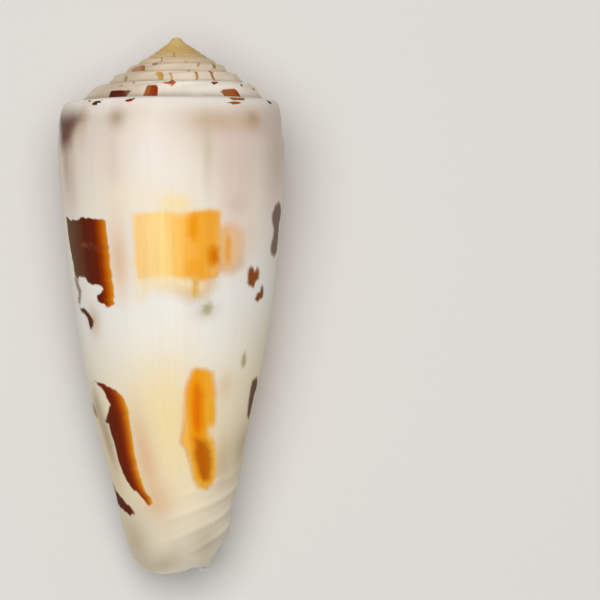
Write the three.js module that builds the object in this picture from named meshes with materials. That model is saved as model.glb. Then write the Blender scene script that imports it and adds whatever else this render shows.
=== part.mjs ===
// Governor cone shell, lying on the belly of its last whorl with the aperture down.
// Millimetres, +Z up. The apex points to +Y, the siphonal end to -Y, and the outer lip runs
// along the -X side. The origin is on the resting surface, under the middle of the shell.
import * as THREE from "three";

// Driving dimensions
const shoulderRadius = 14.8; // at the lip
const whorlGrowth = 1.3; // each whorl is this much larger than the one inside it
const spireWhorls = 8; // modelled one by one, before the closed tip
const columns = 48; // facets round one whorl
const lipAngle = 188; // degrees, where the lip ends: just past -X, turned a little down
const cavityTurns = 0.5; // how far the aperture runs back behind the lip
const lipBevel = 0.018; // of a turn, from the lip's sharp edge back to its inner edge
const roofThickness = 1.1; // of the ramp, over the top of the aperture
const restTilt = 5.6; // degrees, the apex end lifted by the taper that the shell lies on
const flatDepth = 0.26; // of the small worn flat that it lies on
const spireLean = 0.035; // the spire leans to the lip's side by this slope
const nubShare = 0.5; // of the last modelled whorl's radius, the blunt tip of the spire
const nubDepth = 0.12; // from the very tip down to the nub's edge
const cordHeight = 0.16; // of the growth cords round the siphonal end
const cordSpacing = 2.65; // along the lip, from one cord to the next
const cordPlace = 66.3; // along the lip, of one of them

// A whorl's crown from the suture out over the ramp and shoulder, as [distance from the axis,
// depth under the apex] in shoulder radii: of the last whorl, of the spire, whose whorls slope out
// to the next whorl's suture, and of the tip, which is worn to a cone.
const lastCrown = [[0.86, 0.602], [0.9, 0.612], [0.945, 0.616], [0.985, 0.618],
  [1.01, 0.636], [1.034, 0.69], [1.049, 0.765], [1.056, 0.84]];
const spireCrown = [[0.83, 0.585], [0.865, 0.586], [0.905, 0.592], [0.945, 0.602],
  [0.977, 0.62], [1.02, 0.672], [1.079, 0.76], [1.09, 0.84]];
const tipCrown = [[0.83, 0.585], [0.872, 0.607], [0.913, 0.63], [0.955, 0.655],
  [0.997, 0.683], [1.038, 0.716], [1.079, 0.76], [1.09, 0.84]];
const spireChange = [0.55, 1.1]; // turns back over which the crown changes to the spire's
const tipChange = [3.2, 5.6]; // turns back over which it changes to the tip's
// The suture of the next whorl runs along the seam row.
const cornerRow = 4;
const seamRow = 6;
const seatRow = 7;

// The last whorl's outline under the crown every quarter turn back from the lip, as
// [depth under the apex, radius]. Radii are from a centre that leaves the axis near the base.
const outlines = [
  [[11, 15.5], [14.1, 15.7], [18.7, 15.5], [26.6, 14.8], [34.5, 13.8], [42.4, 12.65],
    [47.6, 11.8], [52.9, 11.15], [58.1, 10.45], [63.4, 9.9], [68, 9.1], [70, 8.2]],
  [[11, 14.7], [14.1, 15.0], [18.7, 14.9], [26.6, 14.2], [34.5, 13.2], [42.4, 12.0],
    [47.6, 11.0], [52.9, 9.8], [58.1, 8.6], [63.4, 7.0], [68, 4.9], [70, 3.0]],
  [[11, 13.7], [14.1, 14.05], [18.7, 14.0], [26.6, 13.3], [34.5, 12.4], [42.4, 11.0],
    [47.6, 9.75], [52.9, 7.95], [58.1, 6.3], [62, 4.7], [64.7, 4.0], [67.2, 2.1], [70, 0.45]],
  [[11, 12.6], [14.1, 12.85], [18.7, 12.65], [26.6, 11.9], [34.5, 11.0], [42.4, 9.6],
    [47.6, 8.3], [52.9, 6.9], [58.1, 5.6], [62, 4.4], [64.7, 3.6], [67.2, 2.0], [70, 0.45]],
  [[8, 11.9], [14.1, 11.5], [18.7, 10.85], [26.6, 10.0], [33.4, 8.8], [40.5, 7.2],
    [45, 5.9], [48.1, 4.9], [53.9, 3.5], [60.7, 2.75], [64.8, 2.0], [68, 1.1], [70, 0.45]],
];
const centreDrift = [[0, 0], [2.5, 0.35], [6, 0.35], [8.5, 0.05], [46, 0], [52.9, 0.66], [58.1, 1.3],
  [63.4, 2.0], [68, 2.5], [70, 2.65]];
const wallThickness = [[9, 2.4], [14, 2.7], [44, 2.1], [52, 1.6], [60, 1.1], [70, 0.7]];

// The lower rim by turns back from the lip: the lip's round lobe, the siphonal notch, the tip.
const rimDepth = [[0, 68.2], [0.04, 69.5], [0.08, 70.05], [0.12, 70.1], [0.16, 69.8], [0.2, 69.45],
  [0.26, 69.3], [0.32, 69.4], [0.4, 69.8], [0.46, 70], [1.5, 70]];

// Rows from the crown down to the rim, as shares of the way. They close up towards the rim.
const flankRows = 24;
const flankShare = (row) => Math.sin((row / flankRows) * Math.PI * 0.42) / Math.sin(Math.PI * 0.42);

// A smooth curve through [place, value] points, level beyond the first and the last.
function through(points) {
  const slope = (i) => {
    const a = points[Math.max(i - 1, 0)];
    const b = points[Math.min(i + 1, points.length - 1)];
    return (b[1] - a[1]) / (b[0] - a[0]);
  };
  return (place) => {
    if (place <= points[0][0]) return points[0][1];
    const next = points.findIndex((p) => p[0] >= place);
    if (next < 0) return points[points.length - 1][1];
    const [from, start] = points[next - 1];
    const [to, end] = points[next];
    const width = to - from;
    const u = (place - from) / width;
    const rise = slope(next - 1) * width * u * (1 - u) ** 2 - slope(next) * width * u * u * (1 - u);
    return start + (end - start) * u * u * (3 - 2 * u) + rise;
  };
}

const sides = outlines.map(through);
const driftAt = through(centreDrift);
const wallAt = through(wallThickness);
const rimAt = through(rimDepth);
const shoulderAt = (turn) => shoulderRadius / whorlGrowth ** turn;

// [radius, depth] of a crown row at some turns back from the lip.
function crownAt(turn, row) {
  const { lerp, smoothstep } = THREE.MathUtils;
  const spire = smoothstep(turn, ...spireChange);
  const tip = smoothstep(turn, ...tipChange);
  return [0, 1].map((part) => {
    const worn = lerp(spireCrown[row][part], tipCrown[row][part], tip);
    return shoulderAt(turn) * lerp(lastCrown[row][part], worn, spire);
  });
}

// Oblique cords round the siphonal end: each follows one point of the lip as the shell grew, so it
// climbs towards the spire from turn to turn.
function cordRelief(turn, depth) {
  const lipDepth = depth * whorlGrowth ** turn;
  const fade = THREE.MathUtils.smoothstep(lipDepth, 61, 66) * THREE.MathUtils.smoothstep(turn, 0.05, 0.4);
  const end = 1 - THREE.MathUtils.smoothstep(depth, 66, 69);
  return cordHeight * fade * end * Math.cos((2 * Math.PI * (lipDepth - cordPlace)) / cordSpacing);
}

// Radius of the outer surface at some turns back from the lip. Past one whole turn it is the wall
// of the whorl before, inside the aperture.
function radiusAt(turn, depth) {
  if (turn > 1) return sides[4](depth * (1 + 0.12 * (turn - 1))) / whorlGrowth ** (turn - 1);
  const smooth = through(sides.map((side, quarter) => [quarter / 4, side(depth)]))(turn);
  return smooth + cordRelief(turn, depth) * (1 - THREE.MathUtils.smoothstep(turn, 0.85, 1));
}

// A point at some turns back from the lip, in the shell's own frame: axis along Y, apex at 0.
function place(turn, depth, radius) {
  const angle = THREE.MathUtils.degToRad(lipAngle - 360 * turn);
  const x = driftAt(depth) + radius * Math.cos(angle);
  const lean = spireLean * x * (1 - THREE.MathUtils.smoothstep(depth, 9, 30));
  return [x, -depth - lean, radius * Math.sin(angle)];
}

const vertices = [];
const faces = [];
function addPoint(point) {
  vertices.push(point);
  return vertices.length - 1;
}
const triangle = (a, b, c) => faces.push([a, b, c]);
function quad(a, b, c, d) {
  triangle(a, b, c);
  triangle(a, c, d);
}

// Triangles between two rows of points that start side by side and end side by side.
function zip(left, right) {
  let l = 0;
  let r = 0;
  while (l < left.length - 1 || r < right.length - 1) {
    const leftShare = (l + 1) / (left.length - 1);
    const rightShare = (r + 1) / (right.length - 1);
    const stepLeft = r === right.length - 1 || (l < left.length - 1 && leftShare <= rightShare);
    const corners = stepLeft ? [left[l], left[l + 1], right[r]] : [left[l], right[r + 1], right[r]];
    if (new Set(corners).size === 3) triangle(...corners);
    if (stepLeft) l += 1;
    else r += 1;
  }
}

const cavityColumns = Math.round(cavityTurns * columns);
const lastColumn = columns * spireWhorls;
const lastRow = seatRow + flankRows;
const wallRow = seatRow + 2; // where the roof of the aperture meets the lip's inner side
const roofPoints = 3; // of an inner column, before its wall rows

// Turns back from the lip of a column. Near the base the columns crowd towards the tip, where the
// cavity ends sooner.
function turnOf(column, row) {
  const low = THREE.MathUtils.smoothstep(row, seatRow + flankRows * 0.4, lastRow);
  const end = cavityTurns - 0.05 * low;
  if (column <= cavityColumns) return (end * column) / cavityColumns;
  if (column >= columns) return 1 + (end * (column - columns)) / cavityColumns;
  return end + ((1 - end) * (column - cavityColumns)) / (columns - cavityColumns);
}

function depthOf(column, row) {
  const turn = turnOf(column, row);
  const top = crownAt(turn, seatRow)[1];
  return top + (rimAt(turn) - top) * flankShare(row - seatRow);
}

function outerPoint(column, row) {
  const turn = turnOf(column, row);
  if (row <= seatRow) {
    const [radius, depth] = crownAt(turn, row);
    return place(turn, depth, radius);
  }
  const depth = depthOf(column, row);
  const [crownRadius, top] = crownAt(turn, seatRow);
  const blend = THREE.MathUtils.smoothstep(depth, top, 14.1);
  return place(turn, depth, crownRadius + (radiusAt(turn, depth) - crownRadius) * blend);
}

// The outer surface and the spire are one grid wound into a spiral. The suture of each whorl is
// the seam row of the whorl before.
const grid = new Map();
function outer(column, row) {
  if (row === seamRow && column >= columns) return outer(column - columns, 0);
  const key = column * 100 + row;
  if (!grid.has(key)) grid.set(key, addPoint(outerPoint(column, row)));
  return grid.get(key);
}

function buildOuterSurface() {
  for (let column = 0; column < lastColumn; column++) {
    const inCavity = column >= columns;
    const rows = column < columns + cavityColumns ? lastRow : seamRow;
    for (let row = 0; row < rows; row++) {
      if (inCavity && row === seamRow) continue;
      quad(outer(column, row), outer(column, row + 1),
        outer(column + 1, row + 1), outer(column + 1, row));
    }
  }
  const apexRing = [];
  for (let column = lastColumn - columns; column <= lastColumn; column++)
    apexRing.push(outer(column, 0));
  for (let row = 1; row < seamRow; row++) apexRing.push(outer(lastColumn, row));
  const nubRing = apexRing.map((point) => {
    const [x, , z] = vertices[point];
    return addPoint([x * nubShare, -nubDepth, z * nubShare]);
  });
  const apex = addPoint([0, 0, 0]);
  nubRing.forEach((point, i) => {
    const next = (i + 1) % nubRing.length;
    quad(apexRing[i], apexRing[next], nubRing[next], point);
    triangle(point, nubRing[next], apex);
  });
}

// The inner side of the lip, column by column: the seat on the whorl before, the roof, then the
// wall down to the rim.
function innerColumn(column) {
  const turn = lipBevel + ((cavityTurns - lipBevel) * column) / cavityColumns;
  const seatPoint = outer(column + columns, seatRow);
  const [seatRadius] = crownAt(turn + 1, seatRow);
  const [cornerRadius, cornerDepth] = crownAt(turn, cornerRow);
  const shoulderInside = cornerRadius - wallAt(cornerDepth);
  const roofDepth = cornerDepth + roofThickness;
  const roofMiddle = (seatRadius + shoulderInside) / 2;
  const list = [
    seatPoint,
    addPoint(place(turn, roofDepth - 0.1, roofMiddle)),
    addPoint(place(turn, roofDepth + 0.9, shoulderInside)),
  ];
  for (let row = wallRow; row <= lastRow; row++) {
    const rowTurn = Math.min(turnOf(column, row) + lipBevel * (1 - column / cavityColumns), turn);
    const depth = depthOf(column, row);
    const outside = radiusAt(rowTurn, depth);
    const inside = radiusAt(rowTurn + 1, depth);
    const room = outside - inside;
    const radius = inside + Math.max(room - wallAt(depth), 0.4 * room);
    list.push(addPoint(place(rowTurn, depth, radius)));
  }
  return list;
}

function buildAperture() {
  const walls = [];
  for (let column = 0; column <= cavityColumns; column++) walls.push(innerColumn(column));
  for (let column = 0; column < cavityColumns; column++)
    for (let i = 0; i < walls[0].length - 1; i++)
      quad(walls[column][i], walls[column + 1][i], walls[column + 1][i + 1], walls[column][i + 1]);

  const lipEdge = [];
  const previous = [];
  for (let row = 0; row <= lastRow; row++) lipEdge.push(outer(0, row));
  for (let row = seatRow; row <= lastRow; row++) previous.push(outer(columns + cavityColumns, row));
  const first = walls[0];
  const last = walls[cavityColumns];
  const above = wallRow - seatRow;
  zip(first.slice(0, roofPoints + 1), lipEdge.slice(0, wallRow + 1));
  zip(previous.slice(0, above + 1), last.slice(0, roofPoints + 1));
  for (let i = 0; i < lastRow - wallRow; i++) {
    const next = i + 1;
    quad(first[roofPoints + i], first[roofPoints + next], lipEdge[wallRow + next], lipEdge[wallRow + i]);
    quad(previous[above + i], previous[above + next], last[roofPoints + next], last[roofPoints + i]);
  }

  const outerRim = [];
  const tip = [];
  for (let column = 0; column <= cavityColumns; column++) outerRim.push(outer(column, lastRow));
  for (let column = cavityColumns; column <= columns + cavityColumns; column++)
    tip.push(outer(column, lastRow));
  zip(walls.map((wall) => wall.at(-1)), outerRim);
  tip.push(walls[cavityColumns].at(-1));
  const tipCentre = addPoint(place(0.5, 70.1, 0));
  tip.forEach((point, i) => triangle(point, tipCentre, tip[(i + 1) % tip.length]));
}

// Tilts the shell onto its taper, presses the flat that it lies on, and sets the origin.
function layDown(geometry) {
  geometry.rotateX(THREE.MathUtils.degToRad(restTilt));
  geometry.computeBoundingBox();
  const { min, max } = geometry.boundingBox;
  const floor = min.z + flatDepth;
  const position = geometry.getAttribute("position");
  for (let i = 0; i < position.count; i++) position.setZ(i, Math.max(position.getZ(i), floor));
  geometry.translate(-(min.x + max.x) / 2, -(min.y + max.y) / 2, -floor);
}

buildOuterSurface();
buildAperture();

const geometry = new THREE.BufferGeometry();
geometry.setAttribute("position", new THREE.Float32BufferAttribute(vertices.flat(), 3));
geometry.setIndex(faces.flat());
layDown(geometry);
geometry.computeVertexNormals();

const porcelain = new THREE.MeshStandardMaterial({ color: 0xf1e6d4, roughness: 0.3, metalness: 0 });
const shell = new THREE.Mesh(geometry, porcelain);
shell.name = "shell";

const group = new THREE.Group();
group.add(shell);
export default group;
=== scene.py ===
# Governor cone shell, lying on the belly of its last whorl with the aperture down.
# The scene is in metres. The shell's own sizes are in millimetres.
import math

import bpy
import numpy as np
from mathutils import Matrix, Vector
from mathutils.bvhtree import BVHTree
from mathutils.interpolate import poly_3d_calc


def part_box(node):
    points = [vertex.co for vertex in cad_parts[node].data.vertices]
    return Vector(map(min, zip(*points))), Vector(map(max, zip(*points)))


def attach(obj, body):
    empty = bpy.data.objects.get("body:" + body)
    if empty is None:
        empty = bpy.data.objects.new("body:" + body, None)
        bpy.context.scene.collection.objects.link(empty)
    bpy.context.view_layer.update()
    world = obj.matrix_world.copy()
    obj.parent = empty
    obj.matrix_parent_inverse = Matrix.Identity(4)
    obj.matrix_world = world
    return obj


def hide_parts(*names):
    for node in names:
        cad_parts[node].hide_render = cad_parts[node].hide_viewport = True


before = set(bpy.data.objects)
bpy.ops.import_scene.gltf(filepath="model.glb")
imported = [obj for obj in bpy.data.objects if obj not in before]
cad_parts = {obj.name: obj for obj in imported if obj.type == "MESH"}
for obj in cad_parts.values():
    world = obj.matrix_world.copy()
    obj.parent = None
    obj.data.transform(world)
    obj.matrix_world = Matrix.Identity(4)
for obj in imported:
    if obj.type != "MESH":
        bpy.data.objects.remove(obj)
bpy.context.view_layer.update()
print("frame loaded")


def toLinear(hexColour):
    channels = [int(hexColour[i:i + 2], 16) / 255 for i in (1, 3, 5)]
    return [c / 12.92 if c <= 0.04045 else ((c + 0.055) / 1.055) ** 2.4 for c in channels] + [1.0]


def smoothStep(value, start, end):
    share = np.clip((value - start) / (end - start), 0, 1)
    return share * share * (3 - 2 * share)


def hermite(share, width, start, end, startSlope, endSlope):
    rise = startSlope * width * share * (1 - share) ** 2 - endSlope * width * share ** 2 * (1 - share)
    return start + (end - start) * share ** 2 * (3 - 2 * share) + rise


def curveAt(points, at):
    # a smooth curve through [place, value] points, level beyond the first and the last
    places, values = np.array(points, float).T
    slopes = np.zeros_like(values)
    slopes[1:-1] = (values[2:] - values[:-2]) / (places[2:] - places[:-2])
    slopes[0] = (values[1] - values[0]) / (places[1] - places[0])
    slopes[-1] = (values[-1] - values[-2]) / (places[-1] - places[-2])
    at = np.clip(at, places[0], places[-1])
    i = np.clip(np.searchsorted(places, at, side="right") - 1, 0, len(places) - 2)
    width = places[i + 1] - places[i]
    return hermite((at - places[i]) / width, width, values[i], values[i + 1], slopes[i], slopes[i + 1])


shellSize = {
    "shoulderRadius": 14.8,  # at the lip
    "whorlGrowth": 1.3,  # each whorl is this much larger than the one inside it
    "whorls": 10,
    "columns": 192,  # round one whorl
    "flankRows": 144,
    "lipAngle": 188,  # degrees, where the lip ends
    "cavityTurns": 0.5,  # how far the aperture runs back
    "lipBevel": 0.018,  # of a turn
    "roofThickness": 1.1,
    "restTilt": 5.6,  # degrees, the apex end lifted
    "flatDepth": 0.26,  # of the worn flat that it lies on
    "spireLean": 0.035,
    "nubShare": 0.5,
    "nubDepth": 0.12,
    "cordHeight": 0.16,  # of the growth cords round the siphonal end
    "cordSpacing": 2.65,  # along the lip, from one cord to the next
    "cordPlace": 66.3,  # along the lip, of one of them
    "spireWear": 0.009,  # of the shoulder's radius, how far the spire's edges wander
    "roofRows": 8,  # over the top of the aperture, from the whorl before to the lip
    "roofStart": 0.15,  # share of the roof's quarter turn at which its first row lies
    "roofSag": 1.0,  # from the roof's inner edge to its outer one
    "roofLift": 0.1,
    "wallRows": 6,  # crown rows of the lip that the roof takes the place of
    "openShare": 0.4,  # of the room behind the lip, kept open where the wall is thick
    "endTurn": 0.5,  # where the faces of the siphonal end meet
    "endDepth": 70.1,
    "sharpAngle": 38,  # degrees, folds sharper than this stay crisp
    "lipLength": 70,  # down the lip, one unit of the growth map
}
# A whorl's crown from the suture over the ramp and shoulder, as [distance from the axis, depth] in
# shoulder radii: of the last whorl, of the spire, and of the tip, which is worn to a cone.
crowns = [
    [[0.86, 0.602], [0.9, 0.612], [0.945, 0.616], [0.985, 0.618],
     [1.01, 0.636], [1.034, 0.69], [1.049, 0.765], [1.056, 0.84]],
    [[0.83, 0.585], [0.865, 0.586], [0.905, 0.592], [0.945, 0.602],
     [0.977, 0.62], [1.02, 0.672], [1.079, 0.76], [1.09, 0.84]],
    [[0.83, 0.585], [0.872, 0.607], [0.913, 0.63], [0.955, 0.655],
     [0.997, 0.683], [1.038, 0.716], [1.079, 0.76], [1.09, 0.84]],
]
spireChange, tipChange = [0.55, 1.1], [3.2, 5.6]  # turns back over which the crown changes
crownPlaces = [0, 0.4, 0.8, 1.2, 1.6, 2, 2.5, 3, 3.35, 3.7, 4, 4.3, 4.65, 5, 5.5, 6, 6.5, 7]  # of the rows
cornerRow, seamRow, seatRow = 10, 15, 17
outlines = [
    [[11, 15.5], [14.1, 15.7], [18.7, 15.5], [26.6, 14.8], [34.5, 13.8], [42.4, 12.65],
     [47.6, 11.8], [52.9, 11.15], [58.1, 10.45], [63.4, 9.9], [68, 9.1], [70, 8.2]],
    [[11, 14.7], [14.1, 15.0], [18.7, 14.9], [26.6, 14.2], [34.5, 13.2], [42.4, 12.0],
     [47.6, 11.0], [52.9, 9.8], [58.1, 8.6], [63.4, 7.0], [68, 4.9], [70, 3.0]],
    [[11, 13.7], [14.1, 14.05], [18.7, 14.0], [26.6, 13.3], [34.5, 12.4], [42.4, 11.0],
     [47.6, 9.75], [52.9, 7.95], [58.1, 6.3], [62, 4.7], [64.7, 4.0], [67.2, 2.1], [70, 0.45]],
    [[11, 12.6], [14.1, 12.85], [18.7, 12.65], [26.6, 11.9], [34.5, 11.0], [42.4, 9.6],
     [47.6, 8.3], [52.9, 6.9], [58.1, 5.6], [62, 4.4], [64.7, 3.6], [67.2, 2.0], [70, 0.45]],
    [[8, 11.9], [14.1, 11.5], [18.7, 10.85], [26.6, 10.0], [33.4, 8.8], [40.5, 7.2],
     [45, 5.9], [48.1, 4.9], [53.9, 3.5], [60.7, 2.75], [64.8, 2.0], [68, 1.1], [70, 0.45]],
]
centreDrift = [[0, 0], [2.5, 0.35], [6, 0.35], [8.5, 0.05], [46, 0], [52.9, 0.66], [58.1, 1.3],
               [63.4, 2.0], [68, 2.5], [70, 2.65]]
wallThickness = [[9, 2.4], [14, 2.7], [44, 2.1], [52, 1.6], [60, 1.1], [70, 0.7]]
rimDepth = [[0, 68.2], [0.04, 69.5], [0.08, 70.05], [0.12, 70.1], [0.16, 69.8], [0.2, 69.45],
            [0.26, 69.3], [0.32, 69.4], [0.4, 69.8], [0.46, 70], [1.5, 70]]

columns = shellSize["columns"]
cavityColumns = round(shellSize["cavityTurns"] * columns)
lastColumn = columns * shellSize["whorls"]
lastRow = seatRow + shellSize["flankRows"]
crownCurves = []
for crown in crowns:
    steps = [[[i, point[part]] for i, point in enumerate(crown)] for part in (0, 1)]
    crownCurves.append([curveAt(step, np.array(crownPlaces)) for step in steps])


def shoulderAt(turn):
    return shellSize["shoulderRadius"] / shellSize["whorlGrowth"] ** turn


def crownAt(turn, row):
    # radius and depth of a crown row
    row = np.minimum(row, seatRow)
    spire, tip = smoothStep(turn, *spireChange), smoothStep(turn, *tipChange)
    found = []
    for part in (0, 1):
        last, high, worn = (curves[part][row] for curves in crownCurves)
        found.append(shoulderAt(turn) * (last + (high + (worn - high) * tip - last) * spire))
    return found


def cordRelief(turn, depth):
    # oblique cords round the siphonal end, each following one point of the lip as the shell grew
    lipDepth = depth * shellSize["whorlGrowth"] ** turn
    fade = smoothStep(lipDepth, 61, 66) * smoothStep(turn, 0.05, 0.4) * (1 - smoothStep(depth, 66, 69))
    swell = 0.5 + 0.5 * np.cos(2 * np.pi * (lipDepth - shellSize["cordPlace"]) / shellSize["cordSpacing"])
    return shellSize["cordHeight"] * fade * (1.6 * swell ** 4 - 0.4)


def radiusAt(turn, depth):
    growth = shellSize["whorlGrowth"]
    sides = np.array([curveAt(side, depth) for side in outlines])
    quarter = np.clip(turn * 4, 0, 4)
    i = np.clip(quarter.astype(int), 0, 3)
    slopes = np.empty_like(sides)
    slopes[1:-1] = (sides[2:] - sides[:-2]) / 2
    slopes[0] = sides[1] - sides[0]
    slopes[-1] = sides[-1] - sides[-2]
    cell = np.arange(len(depth))
    smooth = hermite(quarter - i, 1, sides[i, cell], sides[i + 1, cell], slopes[i, cell], slopes[i + 1, cell])
    lastWhorl = smooth + cordRelief(turn, depth) * (1 - smoothStep(turn, 0.85, 1))
    before = curveAt(outlines[4], depth * (1 + 0.12 * (turn - 1))) / growth ** np.maximum(turn - 1, 0)
    return np.where(turn > 1, before, lastWhorl)


def placePoint(turn, depth, radius):
    angle = np.radians(shellSize["lipAngle"] - 360 * turn)
    x = curveAt(centreDrift, depth) + radius * np.cos(angle)
    lean = shellSize["spireLean"] * x * (1 - smoothStep(depth, 9, 30))
    return np.stack([x, -depth - lean, radius * np.sin(angle)], axis=-1)


def flankShare(row):
    return np.sin(row / shellSize["flankRows"] * np.pi * 0.42) / math.sin(math.pi * 0.42)


def turnOf(column, row):
    # the columns crowd towards the tip near the base, where the cavity ends sooner
    low = smoothStep(row, seatRow + shellSize["flankRows"] * 0.4, lastRow)
    end = shellSize["cavityTurns"] - 0.05 * low
    front = end * column / cavityColumns
    middle = end + (1 - end) * (column - cavityColumns) / (columns - cavityColumns)
    back = 1 + end * (column - columns) / cavityColumns
    return np.where(column <= cavityColumns, front, np.where(column >= columns, back, middle))


def depthOf(turn, row):
    top = crownAt(turn, seatRow)[1]
    flank = top + (curveAt(rimDepth, turn) - top) * flankShare(row - seatRow)
    return np.where(row <= seatRow, crownAt(turn, row)[1], flank)


def outerPoints(column, row):
    turn = turnOf(column, row)
    depth = depthOf(turn, row)
    crownRadius, top = crownAt(turn, seatRow)
    blended = crownRadius + (radiusAt(turn, depth) - crownRadius) * smoothStep(depth, top, 14.1)
    radius = np.where(row <= seatRow, crownAt(turn, row)[0], blended)
    # the spire's edges wander a little
    worn = shellSize["spireWear"] * shoulderAt(turn) * smoothStep(turn, 0.9, 1.2) * (row <= seatRow)
    depth = depth + worn * np.sin(turn * 41 + row)
    return placePoint(turn, depth, radius + worn * np.sin(turn * 67 + row * 0.6))


def quads(grid):
    # faces between neighbouring rows and columns of a grid of point numbers
    return np.stack([grid[:-1, :-1], grid[:-1, 1:], grid[1:, 1:], grid[1:, :-1]], axis=-1).reshape(-1, 4)


def zipRows(left, right):
    # triangles between two rows of points that start side by side and end side by side
    made, l, r = [], 0, 0
    lastLeft, lastRight = len(left) - 1, len(right) - 1
    while l < lastLeft or r < lastRight:
        stepLeft = r == lastRight or (l < lastLeft and (l + 1) / lastLeft <= (r + 1) / lastRight)
        corners = (left[l], left[l + 1], right[r]) if stepLeft else (left[l], right[r + 1], right[r])
        if len(set(corners)) == 3:
            made.append(corners)
        l, r = (l + 1, r) if stepLeft else (l, r + 1)
    return made


# One grid wound into a spiral: the outer surface of the last whorl, the wall of the whorl before
# inside the aperture, and the spire. The suture of each whorl is the seam row of the whorl before.
gridColumn, gridRow = np.meshgrid(np.arange(lastColumn + 1), np.arange(lastRow + 1), indexing="ij")
used = (gridRow <= seamRow) | (gridColumn <= columns + cavityColumns)
used &= ~((gridRow == seamRow) & (gridColumn >= columns))
number = np.full(used.shape, -1)
number[used] = np.arange(used.sum())
number[columns:, seamRow] = number[:lastColumn - columns + 1, 0]
gridTurn = turnOf(gridColumn, gridRow)
gridDepth = depthOf(gridTurn, gridRow)
gridLip = gridDepth * shellSize["whorlGrowth"] ** gridTurn  # where on the lip this point was laid down
points = outerPoints(gridColumn[used], gridRow[used])
print("outer surface:", len(points), "points")

extra = []  # points off the grid, with their turns and depths
extraTurn, extraDepth = [], []


def addPoints(turn, depth, placed):
    start = len(points) + sum(len(group) for group in extra)
    extra.append(np.reshape(placed, (-1, 3)))
    extraTurn.append(np.broadcast_to(turn, len(extra[-1])))
    extraDepth.append(np.broadcast_to(depth, len(extra[-1])))
    return np.arange(start, start + len(extra[-1]))


apexRing = np.concatenate([number[lastColumn - columns:lastColumn + 1, 0], number[lastColumn, 1:seamRow]])
nub = points[apexRing] * shellSize["nubShare"]
nub[:, 1] = -shellSize["nubDepth"]
topTurn = shellSize["whorls"]
nubRing = addPoints(topTurn, shellSize["nubDepth"], nub)
apex = addPoints(topTurn, 0, [0, 0, 0])[0]

# The inner side of the lip, column by column: the seat on the whorl before, the roof, the wall.
wallColumn = np.arange(cavityColumns + 1)
lipBevel = shellSize["lipBevel"]
wallTurn = lipBevel + (shellSize["cavityTurns"] - lipBevel) * wallColumn / cavityColumns
seatRadius = crownAt(wallTurn + 1, seatRow)[0]
cornerRadius, cornerDepth = crownAt(wallTurn, cornerRow)
shoulderInside = cornerRadius - curveAt(wallThickness, cornerDepth)
roofDepth = cornerDepth + shellSize["roofThickness"]
roof = []
for share in np.linspace(shellSize["roofStart"], 1, shellSize["roofRows"]):
    reach = seatRadius + (shoulderInside - seatRadius) * math.sin(share * math.pi / 2)
    depth = roofDepth - shellSize["roofLift"] + shellSize["roofSag"] * (1 - math.cos(share * math.pi / 2))
    roof.append(addPoints(wallTurn, depth, placePoint(wallTurn, depth, reach)))
wallRows = np.arange(seatRow + shellSize["wallRows"], lastRow + 1)
mapColumn, mapRow = np.meshgrid(wallColumn, wallRows, indexing="ij")
outerTurn = turnOf(mapColumn, mapRow)
mapTurn = outerTurn + lipBevel * (1 - mapColumn / cavityColumns)
mapTurn = np.minimum(mapTurn, wallTurn[:, None]).ravel()
wallDepth = depthOf(outerTurn, mapRow).ravel()
inside = radiusAt(mapTurn + 1, wallDepth)
room = radiusAt(mapTurn, wallDepth) - inside
wallRadius = inside + np.maximum(room - curveAt(wallThickness, wallDepth), shellSize["openShare"] * room)
wallPoints = addPoints(mapTurn, wallDepth, placePoint(mapTurn, wallDepth, wallRadius))
wallPoints = wallPoints.reshape(mapColumn.shape)
seatPoints = number[columns:columns + cavityColumns + 1, seatRow]
innerWall = np.concatenate([seatPoints[:, None], np.stack(roof, axis=1), wallPoints], axis=1)
tip = list(number[cavityColumns:columns + cavityColumns + 1, lastRow]) + [innerWall[-1, -1]]
endTurn, endDepth = np.array([shellSize["endTurn"]]), np.array([shellSize["endDepth"]])
tipCentre = addPoints(endTurn, endDepth, placePoint(endTurn, endDepth, np.array([0.0])))[0]

# Every face with the turn, the place on the lip and the crown row of each of its corners, and
# whether it is inside the aperture.
cornerGroups = []


def addFaces(faces, turn, lip, row, within):
    parts = (turn, lip, row, within)
    cornerGroups.append([np.broadcast_to(part, faces.shape).reshape(-1).astype(float) for part in parts])
    return [tuple(face) for face in faces.tolist()]


def addGrid(columnFrom, columnTo, rowFrom, rowTo, within):
    part = (slice(columnFrom, columnTo + 1), slice(rowFrom, rowTo + 1))
    return addFaces(*(quads(grid[part]) for grid in (number, gridTurn, gridLip, gridRow)), within)


pointTurn = np.concatenate([gridTurn[used]] + extraTurn)
pointLip = np.concatenate([gridDepth[used]] + extraDepth) * shellSize["whorlGrowth"] ** pointTurn


def addLoose(faces, within):
    faces = np.array(faces)
    return addFaces(faces, pointTurn[faces], pointLip[faces], 0, within)


faces = addGrid(0, columns, 0, lastRow, 0)
faces += addGrid(columns, lastColumn, 0, seamRow, 0)
faces += addGrid(columns, columns + cavityColumns, seatRow, lastRow, 1)
faces += addLoose(np.stack([apexRing, np.roll(apexRing, -1), np.roll(nubRing, -1), nubRing], axis=-1), 0)
faces += addLoose([(a, b, apex) for a, b in zip(nubRing, np.roll(nubRing, -1))], 0)
faces += addLoose(quads(innerWall)[:, ::-1], 1)
faces += addLoose(zipRows(list(innerWall[0]), list(number[0, :])), 1)
faces += addLoose(zipRows(list(number[columns + cavityColumns, seatRow:]), list(innerWall[-1])), 1)
faces += addLoose(zipRows(list(innerWall[:, -1]), list(number[:cavityColumns + 1, lastRow])), 1)
faces += addLoose([(tip[i], tipCentre, tip[(i + 1) % len(tip)]) for i in range(len(tip))], 0)

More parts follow.
